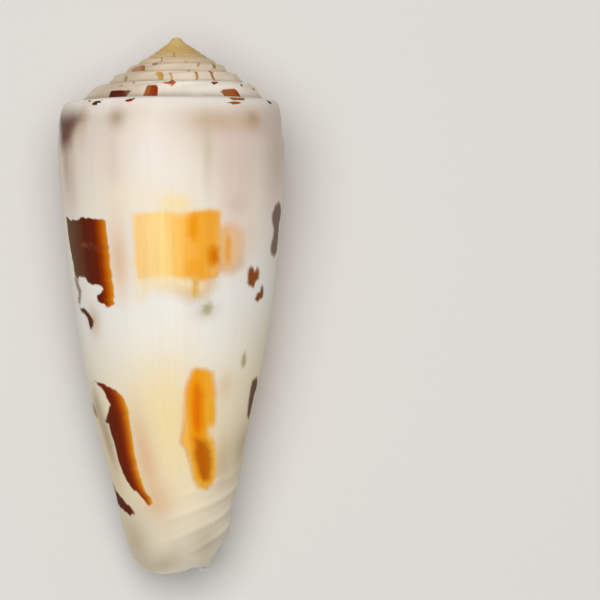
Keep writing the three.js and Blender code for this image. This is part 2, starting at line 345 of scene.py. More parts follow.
allPoints = np.concatenate([points] + extra)
tilt = math.radians(shellSize["restTilt"])
y, z = allPoints[:, 1].copy(), allPoints[:, 2].copy()
allPoints[:, 1] = y * math.cos(tilt) - z * math.sin(tilt)
allPoints[:, 2] = y * math.sin(tilt) + z * math.cos(tilt)
floorHeight = allPoints[:, 2].min() + shellSize["flatDepth"]
low, high = allPoints.min(0), allPoints.max(0)
cadLow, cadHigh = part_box("shell")
allPoints[:, 2] = np.maximum(allPoints[:, 2], floorHeight)
toScene = np.array([(cadLow.x + cadHigh.x) / 2 * 1000 - (low[0] + high[0]) / 2,
                    (cadLow.y + cadHigh.y) / 2 * 1000 - (low[1] + high[1]) / 2, -floorHeight])
allPoints += toScene

shellMesh = bpy.data.meshes.new("shell_porcelain")
shellMesh.from_pydata((allPoints / 1000).tolist(), [], faces)
shellMesh.polygons.foreach_set("use_smooth", [True] * len(shellMesh.polygons))
shellMesh.set_sharp_from_angle(angle=math.radians(shellSize["sharpAngle"]))
print("shell mesh:", len(shellMesh.polygons), "faces")

turn, lip, row, within = (np.concatenate(part) for part in zip(*cornerGroups))
crownPlace = np.interp(row, np.arange(len(crownPlaces)), crownPlaces)
photo = {
    "imagePixels": 600,
    "millimetresPerPixel": 0.1313,
    "distancePixels": 3800,  # from the camera to the shell
    "axisMiddle": 35,  # millimetres down the axis from the apex, where the camera looks square on
}
# The two views of the shell in the photo, with the pixel that its apex stands at, the degrees that
# its siphonal end swings to the right, and the side of the shell that is seen.
photoViews = {
    "back": {"apexPixel": (176.2, 37.6), "roll": 0.62, "side": 1},
    "belly": {"apexPixel": (427.2, 37.6), "roll": 0.55, "side": -1},
}
searchStep, searchSteps = 0.5, 40  # pixels, from beside the shell towards its axis
shellAxis = Vector((0, math.cos(tilt), math.sin(tilt)))
apexPlace = Vector(toScene.tolist())
shellTree = BVHTree.FromPolygons(allPoints.tolist(), faces)
cornerStart = np.cumsum([0] + [len(face) for face in faces])


def viewFrom(view):
    # the directions across, up and towards the camera, and where the camera stands, in millimetres
    facing = Vector((0, -math.sin(tilt), math.cos(tilt))) * photoViews[view]["side"]
    level, roll = shellAxis.cross(facing), math.radians(photoViews[view]["roll"])
    across = level * math.cos(roll) - shellAxis * math.sin(roll)
    upward = level * math.sin(roll) + shellAxis * math.cos(roll)
    away = photo["distancePixels"] * photo["millimetresPerPixel"]
    return across, upward, facing, apexPlace - shellAxis * photo["axisMiddle"] + facing * away


def pointSeen(view, x, y):
    # a pixel of a view, as a point level with the apex
    across, upward = viewFrom(view)[:2]
    apexX, apexY = photoViews[view]["apexPixel"]
    return apexPlace + (across * (x - apexX) - upward * (y - apexY)) * photo["millimetresPerPixel"]


def growthAt(view, x, y):
    # the turn, the place on the lip and the crown place that a view shows at a pixel, or at the
    # nearest pixel towards the axis where that one is beside the shell
    eye = viewFrom(view)[3]
    inward = searchStep if x < photoViews[view]["apexPixel"][0] else -searchStep
    for step in range(searchSteps):
        ray = (pointSeen(view, x + step * inward, y) - eye).normalized()
        place, _, face, _ = shellTree.ray_cast(eye, ray)
        if face is not None:
            shares = poly_3d_calc([Vector(allPoints[corner]) for corner in faces[face]], place)
            corners = slice(cornerStart[face], cornerStart[face + 1])
            return [float(np.dot(shares, values[corners])) for values in (turn, lip, crownPlace)]
    raise ValueError(f"no shell in the {view} view at {x}, {y}")


def girthAt(turn, lip):
    # millimetres round the shell, through a place on it
    depth = np.array([lip]) / shellSize["whorlGrowth"] ** turn
    return 2 * math.pi * float(radiusAt(np.array([turn]), depth)[0])


def onOneWhorl(found):
    # a point that fell on the whorl beside is brought to the near edge of the marking's own whorl
    whorl = sorted(int(turn) for turn, lip, crown in found)[len(found) // 2]
    moved = []
    for turn, lip, crown in found:
        late = whorl - int(turn)
        if late < 0:
            crown = 0
        elif late > 0:
            crown += crownPlaces[seamRow]
        moved.append((turn + late, min(crown, crownPlaces[seatRow])))
    return np.array(moved)


def inBothViews(table):
    return [(view, entry) for view in table for entry in table[view].values()]


boxCut = [0.3, 0.2]  # of the width and the height


def roundedBox(left, top, right, bottom):
    # an upright patch with its corners cut off
    inX, inY = (right - left) * boxCut[0], (bottom - top) * boxCut[1]
    return [(left + inX, top), (right - inX, top), (right, top + inY), (right, bottom - inY),
            (right - inX, bottom), (left + inX, bottom), (left, bottom - inY), (left, top + inY)]


def mark(soft, colours, outline, cover=1):
    # the millimetres over which the edge fades, one colour or several as [millimetres from the older
    # edge, which is on the right in both views, colour], an outline in pixels, and the strength
    colours = [[0, colours]] if isinstance(colours, str) else colours
    return {"soft": soft, "colours": colours, "outline": outline, "cover": cover}


# The blotches and flames of the last whorl.
markings = {
    "back": {
        "goldFade": mark(3.4, [[0, "#EFD9A8"], [4, "#F6E0AA"]],
            [(137, 262), (210, 262), (213, 285), (206, 297), (190, 299), (182, 294), (165, 288), (150, 290),
            (141, 298)], cover=0.7),
        "goldField": mark(1.0, [[0, "#EDAC3C"], [2.2, "#F4A62C"], [4.4, "#FBB444"], [6.2, "#FCC462"],
            [7.6, "#FAD688"], [9.5, "#F8D38A"], [11.5, "#F7C87C"]],
            [(131.5, 213), (150, 211.5), (165, 209.5), (185, 210.5), (205, 208), (220.5, 209), (221.5, 225),
            (222, 240), (222, 262), (220, 272), (215, 279), (200, 281), (182, 279), (165, 277), (150, 278),
            (138, 282), (135, 265), (134, 245), (132.5, 228)]),
        "goldReach": mark(2.8, [[0, "#EACFA6"], [2.6, "#E9B768"]],
            [(212, 226), (233, 225), (241, 234), (241, 264), (232, 272), (212, 270)], cover=0.8),
        "goldHeart": mark(1.1, "#F29A08", roundedBox(188, 214, 198, 240)),
        "goldRight": mark(1.3, "#F4AA34", roundedBox(205, 212, 219, 268)),
        "goldStripe": mark(1.3, "#EE9F34", roundedBox(225, 235, 231.5, 263)),
        "goldFoot": mark(1.3, "#F2A62C", roundedBox(187, 260, 203, 278)),
        "goldEmber": mark(1.1, "#E68A0A", roundedBox(207, 245, 219, 267)),
        "goldSpark": mark(0.9, "#D47204", roundedBox(212, 250, 218, 262)),
        "goldDrip": mark(0.7, "#DDAA40", roundedBox(191.5, 276, 198.5, 298), cover=0.9),
        "goldHem": mark(1.8, "#F6DCA0", roundedBox(166, 197, 190, 212), cover=0.6),
        "upperBlotch": mark(0.3, [[0, "#E0962A"], [0.35, "#D27E0C"], [0.85, "#BE5C00"], [1.4, "#983600"],
            [2.2, "#661E04"], [4.0, "#5A1C08"], [5.4, "#60341A"], [8, "#6C4A32"]],
            [(66.5, 215.5), (70, 219), (74, 220.5), (79, 221), (80, 218.5), (88, 218.2), (95, 219.4),
            (101, 219.6), (105, 221), (107, 234), (108.5, 246), (110, 262), (112, 275), (113.5, 290),
            (114.5, 306), (109, 308.5), (104, 304.5), (100, 303), (96.5, 300), (96.5, 296), (101, 293),
            (103, 290), (102, 287), (99, 285), (90, 285), (87.5, 283), (87, 279.5), (82, 277.5), (77, 278),
            (75.5, 276), (73, 262), (70, 245), (67.5, 228)]),
        "upperLine": mark(0.3, [[0, "#A04A10"], [0.8, "#84401A"]], roundedBox(81, 245.3, 105, 248.2)),
        "upperTail": mark(0.35, [[0, "#8A5A34"], [0.4, "#5C2A12"]],
            [(80, 306), (84, 308), (88, 312), (91, 317), (94.5, 323), (93, 328), (90.5, 332), (89.5, 326),
            (88, 319), (84, 313), (80, 309)]),
        "upperThread": mark(0.6, "#7E6450",
            [(76, 277), (79, 283), (81.5, 291), (81, 297), (80, 304), (78, 303), (78.5, 292), (76, 284),
            (74.5, 278)], cover=0.8),
        "lowerFlame": mark(0.3, [[0, "#EDAE50"], [0.35, "#DA8818"], [0.9, "#B85A06"], [1.45, "#8E3202"],
            [2.1, "#722000"], [3.4, "#661E02"], [5, "#5A240C"]],
            [(94, 380), (97, 382), (104, 384.5), (112, 388.5), (117, 391), (122, 395.5), (125.5, 401),
            (128, 408), (130, 418), (131, 428), (133, 440), (135, 452), (137, 463), (140, 474), (143, 485),
            (147, 494), (152, 500), (154, 504.5), (150, 506.5), (146, 503), (141, 496), (137, 491.5),
            (132, 489.5), (128, 483), (124, 475), (120, 465), (117.5, 455), (115, 445), (112, 436),
            (110, 428), (109.5, 423), (107, 423.5), (105, 421), (107, 417), (109, 412), (110, 408),
            (111, 404), (108, 401), (105, 394), (102, 389), (98, 385)]),
        "lipStreak": mark(0.35, [[0, "#B0642A"], [0.4, "#802E08"], [1.1, "#5A1C08"]],
            [(110, 480), (116, 490), (122, 497), (128, 504), (134, 511), (135.5, 514.5), (130, 514.5),
            (124, 510), (117, 503), (112, 494)]),
        "lipTouch": mark(0.7, "#A87858",
            [(92.5, 402), (96, 408), (98, 416), (96.5, 418), (94, 411)], cover=0.75),
        "middleFlame": mark(1.0, [[0, "#F6CA72"], [0.8, "#F4B23A"], [1.8, "#F2A21C"], [3.4, "#F2A824"],
            [4.6, "#F6C05A"]],
            [(192, 370), (198, 367), (206, 369), (213, 372), (214.5, 380), (216, 395), (217, 410),
            (216, 424), (213, 432), (216, 445), (217.5, 460), (216, 475), (212, 485), (206, 489),
            (198, 488), (194, 480), (191, 470), (189, 460), (186, 450), (181, 443), (182.5, 430),
            (184, 415), (184, 400), (186, 388), (189, 378)]),
        "flameLobe": mark(0.9, "#F4AC2C", roundedBox(204, 374, 214, 426)),
        "flameCore": mark(1.2, "#F2980C",
            [(193, 378), (199, 373), (203, 380), (204.5, 396), (204.5, 425), (204, 440), (198, 446),
            (192, 440), (190, 420), (190.5, 395)]),
        "flameFoot": mark(1.1, [[0, "#CA7C1C"], [1.0, "#C06206"]],
            [(195, 438), (205, 440), (211, 450), (212, 466), (210, 480), (203, 481), (198, 472),
            (194, 456)]),
        "flameHeart": mark(1.1, "#E67404", roundedBox(193, 384, 201.5, 432)),
        "flameGap": mark(1.6, "#F2DDB6", [(209.5, 428), (217, 427), (217, 437), (210.5, 436)], cover=0.8),
        "flameHem": mark(0.7, "#E8AC40", [(198, 482), (211, 482), (208, 489), (199, 488)]),
        "purplePatch": mark(0.9, "#6E5040",
            [(279, 201), (275, 205), (272, 214), (272, 222), (274, 230), (273, 236), (271, 244),
            (270.5, 254), (275, 257), (277, 250), (278, 238), (279, 225), (281, 212)], cover=0.9),
        "rightSpot": mark(0.55, [[0, "#B07C48"], [0.5, "#8E4C1C"]],
            [(248, 268), (252, 266), (255, 272), (257, 266), (259, 268), (259, 278), (256, 281), (254, 287),
            (249, 286.5), (247, 280)]),
        "rightSpotLow": mark(0.5, [[0, "#A06A3C"], [0.5, "#844A20"]],
            [(257, 292), (260, 291), (262, 283), (263.5, 285), (263, 298), (260, 298), (258, 301),
            (254.5, 300), (256, 296)]),
        "rightStreak": mark(0.8, "#5A3A28",
            [(257, 376), (252, 381), (250, 392), (248, 405), (247, 416), (249, 419), (251, 410), (254, 396),
            (257, 386)], cover=0.95),
        "oliveFleck": mark(0.8, "#9A9060",
            [(243, 355), (246, 350), (246, 362), (243, 368), (240.5, 366)], cover=0.8),
        "oliveTriangle": mark(1.0, "#A09C70",
            [(203, 306), (211, 302), (213, 308), (208, 315), (202, 313)], cover=0.8),
        "greySpeck": mark(0.35, "#8E8880", roundedBox(246, 315.8, 248.4, 318.4), cover=0.8),
        "shoulderSmudge": mark(3.0, [[0, "#A58468"], [1.5, "#7C5642"], [3, "#5E2C1A"], [4.5, "#5A3220"]],
            [(61, 116), (72, 113.5), (82, 114), (86, 117.5), (80, 124), (75, 134), (71, 147),
            (62, 148)], cover=0.9),
    },
    "belly": {
        "bellyWash": mark(3.0, [[0, "#E9C490"], [2, "#DEC08A"]],
            [(346, 192), (360, 189), (378, 186), (390, 192), (393, 215), (394, 245), (389, 268), (382, 280),
            (372, 276), (362, 262), (352, 246), (349, 228), (345, 210)], cover=0.55),
        "bellyColumn": mark(1.3, [[0, "#F0C070"], [1.2, "#EDAE48"], [2.6, "#E2A446"]],
            [(377, 190), (386, 189), (389, 205), (391, 225), (391, 246), (386, 258), (380, 252), (372, 244),
            (371, 232), (375, 222), (376, 208)], cover=0.95),
        "bellyArm": mark(0.8, [[0, "#D08A2C"], [0.8, "#C07410"]],
            [(351, 199), (357, 196), (361, 196.5), (363, 202), (364, 212), (365, 222), (362.5, 224.5),
            (360, 221), (359.5, 212), (358, 206), (352, 206)]),
        "bellyPiece": mark(0.8, "#CC8812", roundedBox(371.5, 197, 377.5, 213)),
        "bellySpotA": mark(0.9, [[0, "#A8540C"], [0.9, "#963A06"]],
            [(342, 203), (345, 198.5), (350, 197.5), (354, 200), (352, 206), (347, 208), (343, 207)]),
        "bellyTail": mark(0.9, "#BCA050", roundedBox(345.5, 207, 352, 217), cover=0.8),
        "bellySpotB": mark(0.9, [[0, "#E0882A"], [1.1, "#CC7418"], [2.0, "#A04E14"], [2.8, "#964010"]],
            [(346, 240), (350, 236.5), (356, 237.5), (362, 234), (366, 234.5), (369, 240), (366, 246.5),
            (358, 246.5), (351, 247.5), (347, 244)]),
        "bellyDrop": mark(0.8, [[0, "#E0B066"], [0.5, "#D8A24A"]],
            [(361.5, 247), (367, 248), (368, 258), (365, 267), (361.5, 260)], cover=0.9),
        "bellyFleck": mark(0.4, "#A08248",
            [(364, 271.5), (366, 272.5), (366.5, 281), (364.8, 282)], cover=0.8),
        "lowerGlow": mark(2.2, [[0, "#F0CC8A"], [1.2, "#EDB65E"], [2.4, "#E8A63A"]],
            [(371, 350), (376, 342), (384, 337), (393, 341), (397, 355), (399, 380), (400, 400), (400, 420),
            (395, 429), (387, 424), (381, 408), (374, 392), (371, 370)], cover=0.9),
        "lowerInner": mark(0.9, [[0, "#E9A42A"], [1, "#DC8C10"]], roundedBox(380, 346, 390, 396)),
        "lowerSpine": mark(0.6, "#D88A14",
            [(369.5, 328), (372.5, 330), (373, 345), (377, 352), (380, 366), (382, 382), (384, 396),
            (389, 408), (393, 420), (395.5, 431), (391, 430), (387, 421), (383, 409), (378, 398),
            (374, 390), (373, 375), (371, 362), (369, 350), (370, 342)]),
        "lowerSpotA": mark(0.8, [[0, "#BE5204"], [1.0, "#AC5208"]],
            [(364, 362), (366, 354), (371, 351), (375, 354), (377, 360), (374, 365.5), (366, 366)]),
        "lowerSpotB": mark(0.8, [[0, "#C0660C"], [1.0, "#B06010"]],
            [(371, 380), (376, 376), (381, 378), (382, 390), (379, 398), (373, 397), (370.5, 388)]),
        "lowerSpotC": mark(0.8, [[0, "#BC6830"], [0.8, "#AC6020"]],
            [(377.5, 412), (380, 408), (387, 408.5), (390, 415), (388, 421.5), (381, 421)]),
        "bellyStain": mark(1.6, [[0, "#DDBA78"], [0.6, "#D9AC58"]],
            [(447, 338), (456, 338), (455, 350), (453, 362), (456, 366), (455, 377), (446, 378), (445, 365),
            (446, 350)], cover=0.65),
        "lipSideBrown": mark(0.5, [[0, "#8C5640"], [0.5, "#74402E"]],
            [(363, 428), (366, 434), (371, 440), (373, 446), (369, 451), (366, 446), (363, 437)]),
    },
}
# The marks on the ramps of the spire.
spireMarks = {
    "back": {
        "shoulderBlock": mark(0.12, [[0, "#8E4A20"], [0.25, "#661C02"], [2, "#561600"]],
            [(110.5, 91), (125, 90.5), (128, 92.5), (123, 98.8), (107, 100), (109, 96)]),
        "blockTail": mark(0.15, "#7E6040", [(125, 90.5), (137, 88.6), (134, 90.6), (127, 92.8)]),
        "squareBlock": mark(0.12, [[0, "#8E3210"], [0.9, "#963C14"], [1.3, "#A86438"], [1.7, "#9A603A"]],
            [(147, 85.3), (158, 85), (158, 96.5), (150, 97), (142.5, 97), (145, 91)]),
        "slantBlock": mark(0.14, [[0, "#742A0A"], [0.35, "#98420C"], [0.9, "#AE5412"], [1.6, "#A05E2C"]],
            [(218, 90.6), (224, 89.3), (235, 88.6), (237.5, 91), (241, 97), (245, 102), (230, 101.5),
            (226, 97), (222, 92)]),
        "slantFoot": mark(0.16, [[0, "#A86A38"], [0.8, "#946238"]],
            [(228, 97.5), (241.5, 97.5), (244.5, 100.2), (231, 100.2)]),
        "slantLine": mark(0.12, "#8E7250", [(207, 90), (214, 89.4), (221, 89.6), (220, 90.8), (213, 90.6)]),
        "rimSliverA": mark(0.12, [[0, "#5E2A1C"], [0.5, "#4A1C12"]],
            [(92, 105), (91, 103.4), (96, 101.6), (104, 100), (100, 102.8), (96, 104.8)]),
        "rimSliverB": mark(0.12, [[0, "#9E4426"], [0.4, "#822C14"]],
            [(124.5, 101), (126, 99.9), (131, 98.6), (138, 97.6), (133, 100.7), (128, 102.6),
            (126, 101.8)]),
        "rimSliverC": mark(0.12, [[0, "#8E4018"], [1, "#A44C1E"], [2.4, "#8A6A3C"]],
            [(218, 105), (222, 103.2), (229, 102.2), (238, 101.4), (245, 101.4), (240, 103.6), (233, 105),
            (231, 103.8), (225, 104)]),
        "leftStroke": mark(0.15, "#8A5638",
            [(90, 93.5), (92.3, 95), (91.5, 101), (89.5, 102.5), (88, 100)]),
        "emberMark": mark(0.12, [[0, "#B8622E"], [0.6, "#A85024"]],
            [(162, 83), (168, 82), (171, 80.6), (173, 79.6), (176.5, 82.5), (174, 84.6), (172, 85.4),
            (170, 84), (165, 83.8)]),
        "emberDrop": mark(0.2, "#D4A868", [(169, 84.6), (174, 84.6), (172, 87.4)]),
        "smallSliver": mark(0.12, "#8C3A18",
            [(210.5, 81.8), (219, 81.6), (215, 84.5), (212, 85.8), (212.5, 83.6)]),
        "goldArcA": mark(0.16, [[0, "#C08C40"], [0.6, "#CDA058"]],
            [(154.5, 73.5), (158, 71.5), (162.5, 72), (163.5, 77), (162, 82), (159.5, 81.5), (158, 77)]),
        "goldArcB": mark(0.16, "#C39452",
            [(168.5, 72.5), (170.7, 72.3), (172.8, 78), (174, 81.4), (171.8, 81.6), (170.3, 77)]),
        "goldArcC": mark(0.14, [[0, "#B27E34"], [0.3, "#BC904E"]],
            [(192.5, 71.5), (196.5, 71.8), (198.3, 75), (198.3, 80), (195, 81.2), (195.6, 76)]),
        "goldArcD": mark(0.14, "#9E7640",
            [(207.6, 71), (210.7, 70.8), (213.2, 76), (215.7, 80.8), (213.3, 80.8), (210.8, 76)]),
        "paleArc": mark(0.16, "#AE9064",
            [(125, 75.6), (127.5, 76), (127.7, 79), (125.5, 82.3), (124.3, 79)]),
        "paleLine": mark(0.14, "#A88A66", [(115.5, 87), (120, 85.8), (126, 84.6), (121, 87.2)]),
        "dot": mark(0.18, "#947A6C", [(132.6, 82), (135.4, 81.4), (135.2, 84), (133, 84.4)]),
        "roseBlock": mark(0.16, [[0, "#A0682E"], [0.5, "#A46A42"], [1.2, "#B98468"]],
            [(131, 70.5), (134, 68), (144.5, 65), (145, 70), (141, 73), (133, 73)]),
        "highLine": mark(0.12, "#9A7A4A", [(152, 65), (157, 63), (161.5, 61), (158, 64.2), (153, 65.6)]),
        "highBlock": mark(0.14, "#B6985C", [(184, 61.5), (189, 61.3), (188, 66.2), (185.5, 66.2)]),
        "highArc": mark(0.12, "#B2966A",
            [(195, 60.8), (198.7, 62), (199.3, 66), (196.5, 69.2), (197.2, 65)]),
        "highEdge": mark(0.12, "#A88454",
            [(210, 61), (213, 64), (216.3, 68.5), (210, 70.2), (213, 68.3), (211, 64.5)]),
        "thinLine": mark(0.1, "#9E8048", [(185.3, 71.4), (191, 70), (190, 71.5)]),
        "topCurl": mark(0.12, "#AC884A",
            [(172, 52.3), (175.3, 53), (174.4, 56), (177.3, 60), (175.6, 60), (172.8, 57), (173.6, 54)]),
        "topLine": mark(0.12, "#A8864C", [(161, 57), (163, 57), (162.6, 61), (159.5, 63), (161.5, 60)]),
        "pitA": mark(0.14, "#5E564C", [(240, 83.8), (243.2, 84.8), (242.4, 87), (240.6, 87)]),
        "pitB": mark(0.12, "#564E44", [(251.6, 87.6), (254.8, 89.6), (254, 93), (253, 91)]),
        "pitC": mark(0.12, "#4E463C", [(266, 100), (269, 101), (272, 103), (270.6, 104.6), (268.5, 103)]),
    },
    "belly": {
        "amberBlock": mark(0.16, [[0, "#A24A20"], [0.5, "#B86238"], [1.4, "#B4742C"], [3, "#B98238"]],
            [(387, 86), (389, 81), (395, 77.2), (400, 75), (409, 76.6), (413.5, 77.3), (414, 84.4),
            (402, 84.8), (392, 84.8)]),
        "amberTail": mark(0.18, "#C8A67A", [(412, 77), (430, 77.5), (440, 81), (425, 81.4), (413, 80)]),
        "rustLine": mark(0.14, [[0, "#B98A52"], [1.6, "#B88448"], [2.4, "#A24616"], [3.4, "#8E3C16"]],
            [(379, 93), (385, 90.6), (391, 86.8), (404, 87), (412, 86.8), (416, 90.2), (404, 91.4),
            (393, 91.6), (383, 94)]),
        "rustEnd": mark(0.12, "#9A4A24", [(416, 91.6), (424, 89.6), (432, 88), (426, 92.4)]),
        "darkPair": mark(0.12, [[0, "#7E3220"], [0.3, "#661E10"], [1, "#66402C"]],
            [(347, 97), (349, 92), (353, 88), (355, 90), (357, 87.6), (359.5, 88), (359.8, 92),
            (356.5, 97.4), (351, 97.4)]),
        "darkFleck": mark(0.12, "#6A2416", [(350.3, 99.2), (354, 97.4), (356.4, 98.4), (353, 99.8)]),
        "brownLine": mark(0.1, "#70482A",
            [(363, 88), (366, 84.8), (370, 83.6), (373.4, 84.4), (368, 86.2)]),
        "brownHook": mark(0.12, "#9A6C46",
            [(379, 75), (380, 79), (376.8, 83), (371, 84), (375, 80.3), (378, 79)]),
        "highDash": mark(0.12, "#A47840",
            [(404, 66.2), (408, 64.8), (413.4, 64.6), (409, 67), (405, 67.3)]),
        "farDash": mark(0.12, "#8A5A38", [(480, 91.2), (484, 89.6), (492, 87.6), (488, 90.4), (482, 91.8)]),
        "farBlock": mark(0.14, "#B6966A", [(441, 62), (443, 62.6), (445.2, 66.6), (439, 67)]),
        "farArc": mark(0.14, "#A67E46",
            [(457, 65.3), (460.3, 65.5), (464.3, 71), (468, 76), (466, 76.6), (461, 70.6)]),
        "farEdge": mark(0.12, "#A08050", [(482, 75.6), (485.4, 79), (487.4, 83), (485, 82.4)]),
        "farLine": mark(0.12, "#AE8E5C", [(448, 83.8), (453, 84.8), (457.4, 89), (455, 88.6)]),
        "leftPatch": mark(0.16, "#B3A074", [(386, 61), (391, 59.8), (390, 64.4), (387, 63.2)]),
    },
}
glazeTints = {
    # down the lip from the shoulder, over the back and over the belly
    "backZones": [[9, "#EDE6DA"], [11.5, "#DCCFC1"], [24, "#EDE3D3"], [38, "#EDEAE2"],
                  [50, "#EFE2C4"], [60, "#ECDCBA"], [75, "#DED6C6"]],
    "bellyZones": [[9, "#E0D5C8"], [17, "#D4B6AA"], [26, "#DEC4AB"], [36, "#E9D9C2"],
                   [50, "#E9D6B6"], [75, "#D8CDBA"]],
    "fasciole": "#E0DACD",  # the ridged, paler band round the siphonal end
    "fascioleStart": 61.4,
    "fascioleCover": 0.75,
    "lipMargin": "#D8CFC6",
    "lipMarginCover": 0.8,
    "spire": [[0, "#E8DCCE"], [1.2, "#E6D8C6"], [2.6, "#E3D2BC"], [3.6, "#DCC8AC"],
              [4.6, "#D2B896"], [5.6, "#CDAC70"], [6.5, "#CDAA66"], [10, "#D9BC7C"]],  # by turns back
    # painted highlight and painted shade on the spire: a lighter side and a darker side of the whorls set by
    # where the light falls, as colour, share of a turn that it faces, its reach, and the turn that it fades
    # out at
    "spirePaintedLightAndShade": [["#F6EEE2", 0.33, 0.12, 2], ["#C9B598", 0.14, 0.07, 4]],
    "spirePaintedLightCover": 0.75,
    # painted shadow: the dark line in the crease where whorls meet
    "suture": "#9A8468",  # the fine dark line where whorls meet
    "sutureShadowCover": 0.5,
    "inner": "#EAE6E1",
    # the aperture is darker deep inside: partly the inside's own tint, partly painted shade where little
    # light reaches
    "innerDeepTintAndShade": "#C2B2A0",
}
# khaki, tan and umber serve both as tints and as painted shade in the washes
glazeTones = {
    "cream": "#F3E3C2",
    "butter": "#F3DCA2",
    "ivory": "#F2E9DE",
    "white": "#EFECE4",
    "peach": "#E2BC92",
    "gold": "#E2C07A",
    "rose": "#D4B3A7",
    "duskyRose": "#B5938A",
    "tan": "#C8AA86",
    "umber": "#96704E",
    "khaki": "#B8A888",
}
# Soft washes of those tones: most are tints in the glaze, and those along the outline, round the base and by
# the aperture on the belly are painted shade where the shell turns away from the light. Each has the pixel of
# the middle, the millimetres that it spreads round the shell and down the lip, its tone and its strength.
washes = {
    "back": {
        # painted shade along the left outline, where the shell turns away from the light
        "leftOutlinePaintedShade": (66, 160, 1.2, 4, "umber", 0.45),
        "leftOutlinePaintedShadeLow": (72, 175, 1.2, 5.4, "duskyRose", 0.3),
        "shoulderStain": (117, 118, 1.2, 1.2, "umber", 0.7),
        "shoulderLeft": (83, 128, 0.9, 2.4, "tan", 0.5),
        "shoulderPale": (142, 124, 2.6, 1.9, "cream", 0.2),
        "shoulderMiddle": (203, 121, 2.6, 1.3, "tan", 0.7),
        "shoulderFold": (208, 150, 0.6, 4.8, "khaki", 0.4),
        "shoulderWarm": (196, 137, 2.8, 2.8, "tan", 0.3),
        "shoulderRight": (225, 121, 2.1, 1.4, "tan", 0.55),
        "shoulderNotch": (253, 119, 1.1, 1, "umber", 0.7),
        "shoulderEnd": (250, 123, 3.1, 1.7, "tan", 0.65),
        "rosyLeft": (113, 165, 1, 5.5, "rose", 0.35),
        "rosyMiddle": (228, 165, 1.8, 6.5, "rose", 0.4),
        "rosyRight": (245, 175, 1.8, 6, "rose", 0.4),
        # painted shade along the right outline
        "rightOutlinePaintedShade": (275, 160, 3.8, 7.4, "duskyRose", 0.4),
        "rosyFoot": (236, 205, 1.6, 1.7, "rose", 0.45),
        "crownGlow": (150, 165, 3.1, 7, "ivory", 0.7),
        "crownGlowRight": (185, 165, 1.9, 5.7, "ivory", 0.4),
        "overBlotch": (130, 195, 3.8, 1.9, "cream", 0.5),
        "overGold": (172, 202, 2.2, 1.3, "butter", 0.6),
        "besideBlotch": (119, 260, 1.4, 4.9, "peach", 0.85),
        "besideGold": (246, 240, 2.2, 3.2, "peach", 0.35),
        "underGold": (195, 290, 0.7, 1.4, "gold", 0.5),
        "whiteLeft": (160, 335, 4.4, 3.1, "white", 0.8),
        "whiteRight": (215, 340, 4.4, 4.3, "white", 0.6),
        "oliveSmudge": (206, 311, 1.6, 1.2, "khaki", 0.45),
        # painted shade on the lower left, near the outline
        "underTailPaintedShade": (94, 320, 1.2, 1.9, "tan", 0.7),
        "flameGlow": (170, 420, 3.6, 8.4, "butter", 0.85),
        "besideFlame": (146, 458, 1.4, 6.4, "peach", 0.9),
        "besideCore": (225, 385, 1.1, 1.7, "peach", 0.5),
        # painted shade towards the outline on both sides, lower down
        "besideFootPaintedShade": (222, 462, 1.4, 3.2, "tan", 0.6),
        "streakPaintedShade": (241, 446, 2.7, 3.2, "khaki", 0.6),
        "lowerLipPaintedShade": (108, 440, 1.3, 3.8, "umber", 0.6),
        "lipSidePaintedShade": (98, 408, 1.3, 2.7, "khaki", 0.85),
        "underFlame": (160, 501, 2.3, 1.9, "peach", 0.75),
        "baseGlow": (190, 495, 2.6, 3, "cream", 0.5),
        # painted shade round the base, where the shell narrows and turns away from the light
        "baseLipPaintedShade": (138, 543, 2.4, 3.4, "khaki", 0.6),
        "baseRightPaintedShade": (205, 545, 2, 2.6, "khaki", 0.6),
        "baseEndPaintedShade": (166, 562, 3.4, 1.4, "khaki", 0.6),
    },
    "belly": {
        "bellyDusk": (345, 138, 3, 4.6, "duskyRose", 0.75),
        "bellyRose": (382, 148, 3.8, 4.8, "rose", 0.8),
        "bellyRoseMiddle": (440, 150, 5.4, 4.6, "rose", 0.8),
        "bellyRoseRight": (470, 140, 2.2, 3.6, "rose", 0.5),
        "bellyFarEdge": (495, 150, 3, 6.7, "duskyRose", 0.7),
        "bellyShoulderDot": (366, 120, 1.4, 0.8, "umber", 0.6),
        "bellyShoulder": (455, 112, 3.6, 1.5, "tan", 0.5),
        "bellyShoulderPale": (420, 112, 2.2, 2.6, "cream", 0.5),
        "bellyBlush": (410, 195, 2.5, 4.1, "peach", 0.55),
        "bellyPeach": (447, 215, 3.1, 5, "peach", 0.7),
        "bellyGold": (467, 212, 1.4, 4, "gold", 0.6),
        # painted shade towards the belly's edge by the aperture
        "bellyEdgePaintedShade": (491, 212, 2.2, 5.6, "tan", 0.7),
        "bellyCream": (405, 275, 5.4, 6, "cream", 0.5),
        "lowerCream": (425, 350, 4.6, 8, "cream", 0.3),
        "lowerStain": (398, 378, 1.1, 6.9, "gold", 0.6),
        "lowerStainLeft": (373, 390, 1, 4, "gold", 0.6),
        # painted shade towards the belly's edge by the aperture, lower down
        "lowerEdgePaintedShade": (476, 350, 1.9, 8.3, "khaki", 0.6),
        "lowerOlivePaintedShade": (450, 395, 0.9, 2.6, "khaki", 0.5),
        "lowerDusk": (360, 400, 2.8, 6.1, "duskyRose", 0.3),
    },
}
washFalloff = 0.9

waveSeed, waveCells = 11, 4096
wave = np.random.default_rng(waveSeed).random(waveCells)


def ripple(value):
    # smooth noise along one coordinate, from -1 to 1
    cell = np.floor(value).astype(int)
    share = smoothStep(value - cell, 0, 1)
    return 2 * (wave[cell % waveCells] * (1 - share) + wave[(cell + 1) % waveCells] * share) - 1


def colourRamp(zones, at):
    places = [place for place, colour in zones]
    colours = np.array([toLinear(colour)[:3] for place, colour in zones])
    return np.stack([np.interp(at, places, channel) for channel in colours.T], axis=-1)


